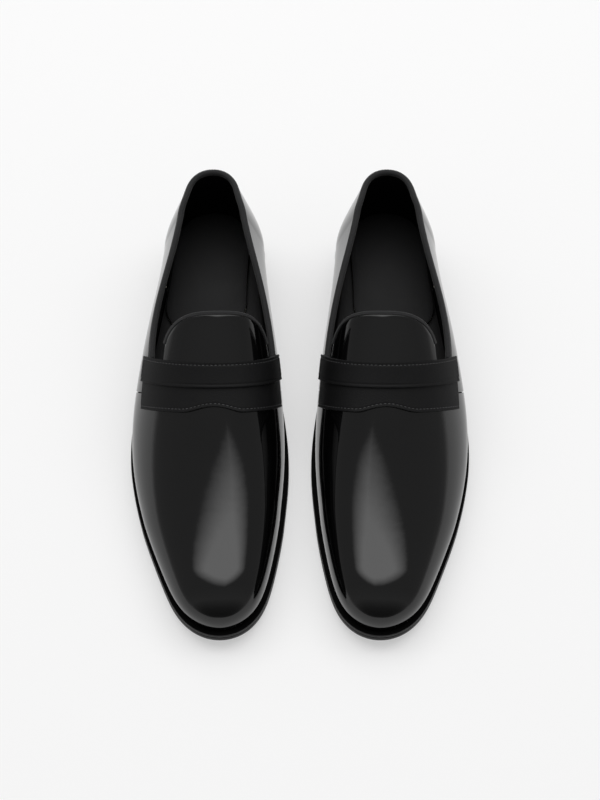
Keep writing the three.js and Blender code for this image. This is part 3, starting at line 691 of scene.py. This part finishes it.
ridge_rear = float(station_across(LATERAL, 1, TONGUE_REAR))
puff_step = (station_at(FEATHER_LENGTH - PUFF_LENGTH) - ridge_rear) / (1 - ridge_rear)
puff = skin("toe_puff", vamp_face(STIFFENER_DEPTH, np.linspace(puff_step, 1, 40)), STIFFENER, 0)
fit_pair(puff, felt, "stiffener", "toe_puff")

counter_levels = np.linspace(0, COUNTER_LEVEL, 12)
counter = skin(
    "heel_counter", back_face(station_at(COUNTER_LENGTH), counter_levels, STIFFENER_DEPTH),
    STIFFENER, 0)
fit_pair(counter, felt, "stiffener", "heel_counter")


# ---------------------------------------- linings
# Thin smooth leather inside the upper: one piece behind the vamp and tongue, one behind each
# quarter, and a heel grip round the back that holds the foot.
LINING = 0.7
LINING_DEPTH = STIFFENER_DEPTH + STIFFENER + CLEAR
LINING_FACE = LINING_DEPTH + LINING
LINING_EDGE = 0.15
GRIP_LENGTH = 56
GRIP_END = station_at(GRIP_LENGTH)
GRIP_GAP = 0.004  # between the heel grip and the side linings, as a difference of stations
CLOSING_START = 0.65  # share of the wall from which the lining closes on the upper
CLOSING_REACH = 0.25

lining, tree = material("lining_leather")
pores = cells(tree, 1700.0)
cloud = noise(tree, 60, 3.0)
principled(tree, {
    "Base Color": shade_between(tree, cloud, (0.0018, 0.0018, 0.002), (0.0035, 0.0035, 0.0038)),
    "Roughness": 0.46 + 0.16 * cloud,
    "Specular IOR Level": 0.12,
    "Normal": bump(tree, pores, 0.03)})

vamp_lining = skin(
    "vamp_lining", vamp_face(LINING_DEPTH, np.linspace(0, 1, 70)), LINING, LINING_EDGE)
fit_pair(vamp_lining, lining, "lining_leather", "vamp_lining")

# Above the stiffeners the lining lies against the upper.
lining_levels = np.linspace(0, 1, 34)
closing = np.clip((lining_levels - CLOSING_START) / CLOSING_REACH, 0, 1)
side_depth = LINING_DEPTH - (STIFFENER + CLEAR) * closing * closing * (3 - 2 * closing)
for side, name in zip(BOTH, ("lateral_lining", "medial_lining")):
    face = quarter_face(side, GRIP_END + GRIP_GAP, side_depth, lining_levels, 60)
    fit_pair(skin(name, face, LINING, LINING_EDGE), lining, "lining_leather", name)

grip = skin("heel_grip", back_face(GRIP_END, lining_levels, side_depth), LINING, LINING_EDGE)
fit_pair(grip, lining, "lining_leather", "heel_grip")


# ---------------------------------------- vamp
# Patent leather: a thin hide under a clear lacquer that lies almost like glass. It runs in one
# piece from the end of the tongue over the toe, and is lasted in under the insole board.
patent, tree = material("patent_leather")
peel = noise(tree, 260, 2.0)
waviness = noise(tree, 45, 2.0)
handling = noise(tree, 22, 4.0, 0.6)
principled(tree, {
    "Base Color": (0.0015, 0.0015, 0.0016, 1),
    "Roughness": 0.05 + 0.04 * handling,
    "IOR": 1.5,
    "Normal": bump(tree, peel + 5.0 * waviness, 0.012)})

vamp = skin("vamp", vamp_face(0, np.linspace(0, 1, 130), lasted=True), UPPER)
fit_pair(vamp, patent, "patent_leather", "vamp")


# ---------------------------------------- quarters
# The two sides, of the same patent leather, closed at the back of the heel and joined to the
# vamp under the saddle.
BACK_SEAM = 2 * CLEAR  # from the middle to each quarter

for side, name in zip(BOTH, ("lateral_quarter", "medial_quarter")):
    face = quarter_face(
        side, station_beside(BACK_SEAM), 0, np.linspace(0, 1, 56), 130, lasted=True)
    fit_pair(skin(name, face, UPPER), patent, "patent_leather", name)


# ---------------------------------------- back strip
# A narrow strip of patent leather, stitched over the seam that closes the quarters at the back
# of the heel. It stops short of the binding above and of the welt below.
BACK_STRIP = 0.8
BACK_STRIP_WIDTH = 12
BACK_STRIP_LEVELS = np.linspace(0.03, 0.88, 70)  # from just over the welt to under the binding

strip_face = back_face(
    station_beside(BACK_STRIP_WIDTH / 2), BACK_STRIP_LEVELS, -(CLEAR + BACK_STRIP), 12)
strip = skin("back_strip", strip_face, BACK_STRIP, 0.3)
fit_pair(strip, patent, "patent_leather", "back_strip")


# ---------------------------------------- topline binding
# Ribbed ribbon folded over the edge of the foot opening and sewn through, from the saddle round
# the heel and back. Its ribs lie across it.
BINDING = 0.5
BINDING_OUTSIDE = 3.2  # how far the ribbon comes down each face
BINDING_INSIDE = 3
BINDING_STOP = 1.4  # it ends this far behind the saddle
FOLD_LOW = 1.8  # below the edge, where the straight part of each face ends
FOLD_START = 1.5  # below the edge, where the turn over it starts
FOLD_RISE = 2.0  # from there to the top of the turn
RIB_PITCH = 0.95
RIB_HEIGHT = 0.12

ribbon, tree = material("ribbed_ribbon")
weave = noise(tree, 3200, 2.0)
principled(tree, {
    "Base Color": shade_between(tree, weave, (0.012, 0.012, 0.0125), (0.036, 0.036, 0.037)),
    "Roughness": 0.7 + 0.2 * weave,
    "Specular IOR Level": 0.25,
    "Sheen Weight": 0.25,
    "Sheen Roughness": 0.4,
    "Normal": bump(tree, weave, 0.03)})

# Each place round the fold has its depth under the upper's face, its rise over the edge, and the
# direction in which a rib stands out there.
depth_out = -BINDING - 0.1
depth_in = UPPER + LINING + 2 * CLEAR + BINDING
half_fold = (depth_in - depth_out) / 2
fold = [(depth_out, rise, -1, 0) for rise in np.linspace(-BINDING_OUTSIDE, -FOLD_LOW, 4)]
for angle in np.linspace(math.pi, 0, 13):
    way_in, up = math.cos(angle), math.sin(angle)
    depth = depth_out + half_fold * (1 + math.copysign(abs(way_in) ** 1.1, way_in))
    fold.append((depth, FOLD_RISE * up ** 0.9 - FOLD_START, way_in, up))
fold += [(depth_in, rise, 1, 0) for rise in np.linspace(-FOLD_LOW, -BINDING_INSIDE, 3)]


def path_length(points):
    """The length of a path up to each of its points."""
    steps = np.linalg.norm(np.diff(points, axis=0), axis=1)
    return np.concatenate([[0], np.cumsum(steps)])


def round_the_opening(spacing):
    """Sides, stations and lengths of even steps along the topline, lateral end first."""
    runs = []
    for side in BOTH:
        share = float(topline(side, station_at(COUNTER_LENGTH)))
        end = float(station_across(side, share, SADDLE_REAR - BINDING_STOP))
        dense = np.linspace(0, end, 400)
        length = path_length(outer(side, dense, topline(side, dense)))
        even = np.arange(0, length[-1], spacing)
        runs.append((np.interp(even, length, dense), even))
    (lateral, back), (medial, forth) = runs
    sides = np.concatenate([np.full_like(lateral, LATERAL), np.full_like(medial[1:], MEDIAL)])
    stations = np.concatenate([lateral[::-1], medial[1:]])
    return sides, stations, np.concatenate([-back[::-1], forth[1:]])


rib_sides, rib_stations, rib_lengths = round_the_opening(RIB_PITCH / 5)
rib = RIB_HEIGHT * np.cos(2 * math.pi * rib_lengths / RIB_PITCH)
columns = []
for depth, rise, way_in, up in fold:
    share = topline(rib_sides, rib_stations, -(rise + up * rib))
    columns.append(under(rib_sides, rib_stations, share, depth + way_in * rib))
binding = grid("topline_binding", np.stack(columns, 1))
apply(binding, "SOLIDIFY", thickness=BINDING * MM, offset=-1)
smooth(binding, 60)
fit_pair(binding, ribbon, "ribbon", "topline_binding")


# ---------------------------------------- tongue piping
# The same ribbon, rolled round a cord and sewn along the edge of the tongue, from one side of
# the saddle round to the other. The seam parts it into two beads.
PIPING_RADIUS = 1.1
PIPING_GROOVE = 0.32  # depth of the seam between its two beads, as a share of the radius
PIPING_GROOVE_WIDTH = 0.4  # in radians round the cord
PIPING_END = 0.02  # share of the wall, over the tongue's side, at which it ends


def tongue_edge(count):
    """Points of the tongue's edge, and its normals, lateral side first."""
    def half(side):
        t = 1 - (1 - TONGUE_SIDE[side] - PIPING_END) * np.linspace(1, 0, count)
        s = station_across(side, t, vamp_rear(side, t))
        return under(side, s, t, np.full_like(t, UPPER / 2)), outer_normal(side, s, t)
    lateral, medial = half(LATERAL), half(MEDIAL)
    return [np.concatenate([a, b[-2::-1]]) for a, b in zip(lateral, medial)]


edge, edge_normal = tongue_edge(90)
run = unit(np.gradient(edge, axis=0))
outward = unit(np.cross(run, edge_normal))
if outward[len(outward) // 2][1] > 0:
    outward = -outward
around = np.linspace(0, 2 * math.pi, 32, endpoint=False)
groove = np.exp(-((around - math.pi / 2) / PIPING_GROOVE_WIDTH) ** 2)
bead = PIPING_RADIUS * (1 - PIPING_GROOVE * groove)
cord = edge + outward * (PIPING_RADIUS + CLEAR)
tube = (cord[:, None] + outward[:, None] * (np.cos(around) * bead)[None, :, None]
        + edge_normal[:, None] * (np.sin(around) * bead)[None, :, None])
ends = [np.repeat(cord[k][None, None], len(around), 1) for k in (0, -1)]
piping = grid("tongue_piping", np.concatenate([ends[0], tube, ends[1]]), closed=True)
smooth(piping, 60)
fit_pair(piping, ribbon, "ribbon", "tongue_piping")


# ---------------------------------------- saddle
# Two bands of matte calf across the instep, one on the other, with turned edges. The lower one
# runs further forward, with a wave cut in its front edge. Both are sewn close to their edges.
STRAP = 1.2
SADDLE_ROOM = 0.5
SADDLE_SWEEP = 3.3  # its ends lie this much nearer to the heel than its middle
SADDLE_FOLD = 96  # front edge of the upper layer
SADDLE_FRONT = 111.3
SADDLE_FRONT_SWEEP = 1.5
SADDLE_WAVE = 3.7
SADDLE_WAVE_SHARE = 0.24
SADDLE_WAVE_OFFSET = 0.065  # share by which the wave lies to the lateral side
SADDLE_END = {LATERAL: 0.32, MEDIAL: 0.24}  # shares of the way up each side
SADDLE_EDGE = 0.5  # rounding of its turned edges
SEWN_IN = 1.9  # from the edge to the stitches
SEWN_DENT = 0.22  # how deep the stitches pull the leather in
SEWN_DENT_WIDTH = 0.55
SEWN_FROM = 0.02  # share from the end of the saddle at which a row across the instep starts
END_ROW = 0.03  # share at which a row along its end lies
STITCH_PITCH = 2.6
STITCH_LENGTH = 1.8
STITCH_THICKNESS = 0.5
STITCH_STAND = 0.05  # above the leather


def saddle_share(side, k):
    """Share of the wall at k, 0 at the end of the saddle and 1 on the ridge."""
    return SADDLE_END[side] + (1 - SADDLE_END[side]) * k


def saddle_rear(k, side):
    return SADDLE_REAR - SADDLE_SWEEP * (1 - k) ** 2


def saddle_fold(k, side):
    return SADDLE_FOLD - SADDLE_SWEEP * (1 - k) ** 2


def saddle_front(k, side):
    t = saddle_share(side, k)
    wave = np.minimum(np.abs(side * (1 - t) - SADDLE_WAVE_OFFSET) / SADDLE_WAVE_SHARE, 1)
    notch = SADDLE_WAVE * (1 + np.cos(math.pi * wave)) / 2
    return SADDLE_FRONT - notch - SADDLE_FRONT_SWEEP * (1 - k) ** 2


def saddle_lift(number):
    """Height of a layer's outer face over the upper, from the lowest layer, 0."""
    return SADDLE_ROOM + number * (STRAP + CLEAR) + STRAP


def saddle_layer(name, number, front):
    across = np.linspace(0, 1, 80)
    steps = np.linspace(0, 1, 56)[:, None]

    def half(side):
        rear_place, front_place = saddle_rear(across, side), front(across, side)
        place = rear_place + (front_place - rear_place) * steps
        from_edge = np.minimum(place - rear_place, front_place - place)
        dent = SEWN_DENT * np.exp(-((from_edge - SEWN_IN) / SEWN_DENT_WIDTH) ** 2)
        t = saddle_share(side, across)
        return under(side, station_across(side, t, place), t, dent - saddle_lift(number))

    return skin(name, over_the_ridge(half), STRAP, SADDLE_EDGE, 4)


def stitch_path(number, side, k, place, dent):
    """Points and normals on the face of a layer of the saddle, for stitches to follow."""
    t = saddle_share(side, k)
    s = station_across(side, t, place)
    depth = np.full_like(t, dent - saddle_lift(number) - STITCH_STAND)
    return np.stack([under(side, s, t, depth), outer_normal(side, s, t)])


def sewn_row(number, edge_of, inwards):
    """A row of stitches across the instep, inside one edge of a layer."""
    across = np.linspace(SEWN_FROM, 1, 200)
    return over_the_ridge(lambda side: stitch_path(
        number, side, across, edge_of(across, side) + inwards, SEWN_DENT))


def sewn_end(number, side, front):
    """A row of stitches along one end of a layer."""
    rear_place = float(saddle_rear(END_ROW, side)) + SEWN_IN
    front_place = float(front(END_ROW, side)) - SEWN_IN
    place = np.linspace(rear_place, front_place, 40)
    return stitch_path(number, side, np.full(40, END_ROW), place, 0)


def sew(name, rows):
    """One small stitch, copied along each row and joined into one piece."""
    bpy.ops.object.select_all(action="DESELECT")
    bpy.ops.mesh.primitive_uv_sphere_add(segments=8, ring_count=6, radius=0.5)
    first = bpy.context.object
    for points, normals in rows:
        path = stand(points)
        ups = unit(stand(points + normals) - path)
        travel = path_length(path)
        for at in np.arange(STITCH_PITCH / 2, travel[-1] / MM, STITCH_PITCH) * MM:
            start, centre, end = (
                np.array([np.interp(at + step * MM, travel, path[:, i]) for i in range(3)])
                for step in (-0.5, 0, 0.5))
            up = np.array([np.interp(at, travel, ups[:, i]) for i in range(3)])
            ahead = unit(end - start)
            wide = unit(np.cross(up, ahead))
            lie = np.column_stack([
                ahead * STITCH_LENGTH * MM, wide * STITCH_THICKNESS * MM,
                up * STITCH_THICKNESS * MM, centre])
            stitch = first.copy()
            stitch.data = first.data.copy()
            stitch.data.transform(Matrix([*lie.tolist(), [0, 0, 0, 1]]))
            scene.collection.objects.link(stitch)
            stitch.select_set(True)
    first.select_set(False)
    bpy.context.view_layer.objects.active = stitch
    bpy.ops.object.join()
    bpy.data.objects.remove(first)
    piece = bpy.context.view_layer.objects.active
    piece.name = name
    smooth(piece, 180)
    return piece


calf, tree = material("matte_calf")
grain = node(tree, "ShaderNodeTexVoronoi", {"feature": "SMOOTH_F1"}, {
    "Vector": object_place(tree), "Scale": 1150.0, "Smoothness": 0.6})
dye = noise(tree, 90, 3.0)
principled(tree, {
    "Base Color": shade_between(tree, dye, (0.003, 0.003, 0.0032), (0.006, 0.006, 0.0064)),
    "Roughness": 0.54 + 0.14 * dye,
    "Specular IOR Level": 0.18,
    "Normal": bump(tree, grain, 0.07)})

lower = saddle_layer("saddle_lower", 0, saddle_front)
fit_pair(lower, calf, "saddle_leather", "saddle_lower")
upper = saddle_layer("saddle_upper", 1, saddle_fold)
fit_pair(upper, calf, "saddle_leather", "saddle_upper")

thread, tree = material("waxed_thread")
twist = node(tree, "ShaderNodeTexWave", {"bands_direction": "DIAGONAL"}, {
    "Vector": object_place(tree), "Scale": 900.0, "Distortion": 1.0})
principled(tree, {
    "Base Color": shade_between(tree, twist, (0.030, 0.030, 0.031), (0.075, 0.075, 0.077)),
    "Roughness": 0.5 + 0.2 * twist,
    "Normal": bump(tree, twist, 0.05)})
stitching = sew("saddle_stitching", [
    sewn_row(1, saddle_rear, SEWN_IN),
    sewn_row(0, saddle_front, -SEWN_IN),
    sewn_end(1, LATERAL, saddle_fold),
    sewn_end(1, MEDIAL, saddle_fold)])
fit_pair(stitching, thread, "saddle_leather")


# ---------------------------------------- welt and outsole
# The welt is a strip of leather between the upper and the sole, and the outsole a full-length
# leather sole with a black burnished edge. Both edges are trimmed together and rounded.
WELT = 2.6
OUTSOLE = 4.1
WELT_TOP = 0.93  # faces whose normals point up more than this are the welt's flat top, given a darker, duller material
WELT_CORNER = 0.3  # and those over this its rounded corner, which is given a painted highlight


def rim(low, high, out, out_low, corner, inner):
    """Edge profile of a layer: pairs of the way out and the height, from the top face round to
    the bottom face, with rounded corners."""
    def profile(side, s):
        turn = np.linspace(0, math.pi / 2, 5)
        top, bottom = out(side, s), out_low(side, s)
        ways = [top - inner]
        heights = [high]
        for a in turn:
            ways.append(top - corner * (1 - math.sin(a)))
            heights.append(lambda u, a=a: high(u) - corner * (1 - math.cos(a)))
        for a in turn[::-1]:
            ways.append(bottom - corner * (1 - math.sin(a)))
            heights.append(lambda u, a=a: low(u) + corner * (1 - math.cos(a)))
        ways.append(bottom - inner)
        heights.append(low)
        points = []
        for way, height in zip(ways, heights):
            x, u = sole_edge(side, s, way)
            points.append(np.stack([x, u, height(u)], -1))
        return np.stack(points, 1)
    return profile


def slab(name, low, high, out, out_low=None, to=1.0, corner=0.45, inner=9.0, count=150):
    """A layer under the foot, closed all round. It ends in a flat face where `to` is under 1."""
    profile = rim(low, high, out, out_low or out, corner, inner)
    stations = np.linspace(0, to, count)
    ring = np.concatenate([profile(LATERAL, stations), profile(MEDIAL, stations)[:, ::-1]], 1)
    piece = grid(name, ring, closed=True)
    if to < 1:
        bpy.ops.object.mode_set(mode="EDIT")
        bpy.ops.mesh.select_all(action="DESELECT")
        bpy.ops.mesh.select_non_manifold()
        bpy.ops.mesh.edge_face_add()
        bpy.ops.object.mode_set(mode="OBJECT")
    edit_all(bpy.ops.mesh.normals_make_consistent, inside=False)
    smooth(piece, 35)
    return piece


def outsole_top(u):
    return feather_height(u) - WELT - CLEAR


def outsole_bottom(u):
    return np.maximum(0, outsole_top(u) - OUTSOLE)


sole, tree = material("sole_leather")
layered = node(tree, "ShaderNodeMapping", {}, {
    "Vector": object_place(tree), "Scale": (1.0, 1.0, 9.0)})
strata = noise(tree, 260, 4.0, 0.6, vector=layered)
scuff = noise(tree, 40, 5.0, 0.65)
principled(tree, {
    "Base Color": shade_between(tree, strata, (0.0025, 0.0025, 0.0025), (0.006, 0.0058, 0.0058)),
    "Roughness": 0.32 + 0.22 * scuff,
    "Specular IOR Level": 0.14,
    "Normal": bump(tree, strata, 0.05)})

# A darker, duller black for the faces of the welt's flat top.
darker_welt_top, tree = material("welt_top_darker")
streaks = noise(tree, 300, 4.0, 0.6)
principled(tree, {
    "Base Color": shade_between(tree, streaks, (0.0008, 0.0008, 0.0008), (0.0025, 0.0025, 0.0025)),
    "Roughness": 0.45 + 0.2 * streaks,
    "Specular IOR Level": 0.03,
    "Normal": bump(tree, streaks, 0.05)})

# A lighter, glossier black for the faces of the welt's rounded top corner: a painted highlight where
# that corner catches the light.
painted_corner_highlight, tree = material("welt_corner_painted_highlight")
highlight_variation = noise(tree, 120, 4.0, 0.6)
principled(tree, {
    "Base Color": shade_between(tree, highlight_variation, (0.015, 0.015, 0.015), (0.035, 0.035, 0.035)),
    "Roughness": 0.30 + 0.2 * highlight_variation,
    "Specular IOR Level": 0.6})

outsole = slab("outsole", outsole_bottom, outsole_top, sole_margin)
fit_pair(outsole, sole, "sole_leather", "outsole")

welt_edge = rim(lambda u: feather_height(u) - WELT, feather_height, sole_margin, sole_margin,
                0.5, 6.0)
welt_stations = np.linspace(0, 1, 170)
welt_sides = []
for side in BOTH:
    x, u = sole_edge(side, welt_stations, -MARGIN)
    top = np.stack([x, u, feather_height(u)], -1)
    inner_edge = np.stack([top - (0, 0, WELT), top], 1)
    welt_sides.append(np.concatenate([welt_edge(side, welt_stations), inner_edge], 1))
welt = grid("welt", np.concatenate([welt_sides[0], welt_sides[1][-2:0:-1]]), closed=True)
edit_all(bpy.ops.mesh.normals_make_consistent, inside=False)
smooth(welt, 35)
for part in fit_pair(welt, sole, "sole_leather", "welt"):
    part.data.materials.append(darker_welt_top)
    part.data.materials.append(painted_corner_highlight)
    # Faces of the rounded top corner, chosen by which way they point, get the painted highlight.
    for face in part.data.polygons:
        up = face.normal.z
        face.material_index = 1 if up > WELT_TOP else 2 if up > WELT_CORNER else 0


# ---------------------------------------- heel
# Three leather lifts, stacked and nailed, with a rubber top piece that meets the floor. The
# stack narrows a little towards the floor, and its front face is cut square.
TOP_PIECE = 5.5
HEEL_LIFT = 4
HEEL_BREAST = 74
HEEL_TAPER = 2
LIFT_CORNER = 0.25
HEEL_END = station_at(HEEL_BREAST)
HEEL_HEIGHT = float(outsole_bottom(0))


def tapered(z):
    """How far the heel stands out from the feather line at a height."""
    return lambda side, s: sole_margin(side, s) - HEEL_TAPER * (1 - z / HEEL_HEIGHT)


def level(z):
    """A flat face at a height."""
    return lambda u: np.full_like(np.asarray(u, float), z)


rubber, tree = material("heel_rubber")
pebble = noise(tree, 700, 3.0)
principled(tree, {
    "Base Color": shade_between(tree, pebble, (0.012, 0.012, 0.012), (0.028, 0.028, 0.028)),
    "Roughness": 0.72 + 0.2 * pebble,
    "Normal": bump(tree, pebble, 0.05)})

lift_base = [TOP_PIECE + CLEAR + k * (HEEL_LIFT + CLEAR) for k in range(3)]
top_piece = slab("heel_top_piece", level(0), level(TOP_PIECE), tapered(TOP_PIECE), tapered(0),
                 to=HEEL_END, count=70)
fit_pair(top_piece, rubber, "heel_rubber", "heel_top_piece")
for base, name in zip(lift_base[:2], ("heel_lift_lower", "heel_lift_middle")):
    lift = slab(name, level(base), level(base + HEEL_LIFT), tapered(base + HEEL_LIFT),
                tapered(base), to=HEEL_END, corner=LIFT_CORNER, count=70)
    fit_pair(lift, sole, "sole_leather", name)
lift = slab("heel_lift_upper", level(lift_base[2]), lambda u: outsole_bottom(u) - CLEAR,
            tapered(HEEL_HEIGHT), tapered(lift_base[2]), to=HEEL_END, corner=LIFT_CORNER,
            count=70)
fit_pair(lift, sole, "sole_leather", "heel_lift_upper")


# ---------------------------------------- sock lining and heel pad
# A full-length leather sock over the insole board, a thin foam wedge under the heel of the foot,
# and a leather heel sock over that. The two upper ones leave the arch free.
INSOLE = 2
SOCK = 0.8
HEEL_SOCK = 0.9
PAD_FRONT = 86
PAD_CORNER = 16  # radius of its front corners
PAD_INSET = 1.5  # from the linings
PAD_ARCH = 9  # how far its medial side draws in towards the arch
PAD_BACK = 2  # its thickness at the back
PAD_THIN = 1  # and at the front


def sock_base(u):
    return feather_height(u) + WALL_BASE + INSOLE + CLEAR


def pad_base(u):
    return sock_base(u) + SOCK + CLEAR


def pad_top(u):
    return pad_base(u) + PAD_BACK + (PAD_THIN - PAD_BACK) * np.clip(u / PAD_FRONT, 0, 1)


def pad_outline(side, s):
    """How far the edge of the pad lies out from the feather line, which is always inside it."""
    u = feather(side, s)[1]
    past = np.clip((u - PAD_FRONT + PAD_CORNER) / PAD_CORNER, 0, 1)
    corner = PAD_CORNER * (1 - np.sqrt(1 - past ** 2))
    arch = by_side(side, 0, PAD_ARCH * np.clip(u / PAD_FRONT, 0, 1))
    return -(LINING_FACE + PAD_INSET + arch + corner)


sock, tree = material("sock_leather")
hair_holes = cells(tree, 1500.0)
rubbing = noise(tree, 55, 3.0)
principled(tree, {
    "Base Color": shade_between(tree, rubbing, (0.005, 0.005, 0.0053), (0.0085, 0.0085, 0.009)),
    "Roughness": 0.44 + 0.14 * rubbing,
    "Specular IOR Level": 0.14,
    "Normal": bump(tree, hair_holes, 0.03)})

foam, tree = material("latex_foam")
bubbles = cells(tree, 2200.0)
principled(tree, {
    "Base Color": shade_between(tree, bubbles, (0.45, 0.42, 0.33), (0.75, 0.72, 0.60)),
    "Roughness": 0.85 + 0.1 * bubbles,
    "Normal": bump(tree, bubbles, 0.2)})

flat_sock = slab("sock_lining", sock_base, lambda u: sock_base(u) + SOCK,
                 lambda side, s: -(LINING_FACE + CLEAR) + 0 * s, corner=0.25, inner=4.0)
fit_pair(flat_sock, sock, "lining_leather", "sock_lining")
pad = slab("heel_pad", pad_base, pad_top, pad_outline, to=station_at(PAD_FRONT), corner=0.48,
           inner=4.0)
for part in fit_pair(pad, foam, "foam", "heel_pad"):
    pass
heel_sock = slab("heel_sock", lambda u: pad_top(u) + CLEAR, lambda u: pad_top(u) + CLEAR + HEEL_SOCK,
                 pad_outline, to=station_at(PAD_FRONT), corner=0.3, inner=4.0)
fit_pair(heel_sock, sock, "lining_leather", "heel_sock")
